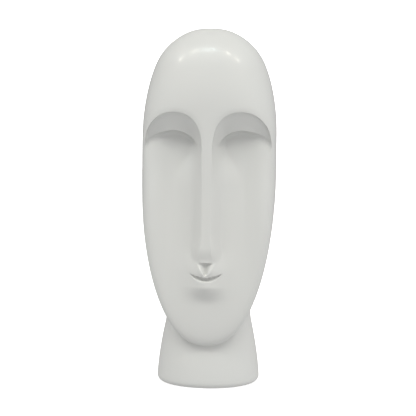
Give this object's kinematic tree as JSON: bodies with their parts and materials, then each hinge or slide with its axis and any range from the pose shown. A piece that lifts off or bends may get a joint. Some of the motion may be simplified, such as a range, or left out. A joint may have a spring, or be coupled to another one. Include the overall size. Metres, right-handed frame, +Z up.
{
  "type": "abstract face sculpture",
  "caption": "Tall oval abstract face on a short flared neck, cast in one piece with a long thin nose, arched brows and downcast lids, glazed white.",
  "frame": {"origin": "middle of the flat underside, on the surface it stands on", "axes": "+Z up through the crown, the face towards -Y, +X to the right of someone looking at the face"},
  "size_m": [0.1584, 0.1343, 0.421],
  "materials": {
    "white_glaze": "satin white glaze"
  },
  "bodies": {
    "root": {"face_sculpture": "white_glaze"}
  },
  "joints": []
}
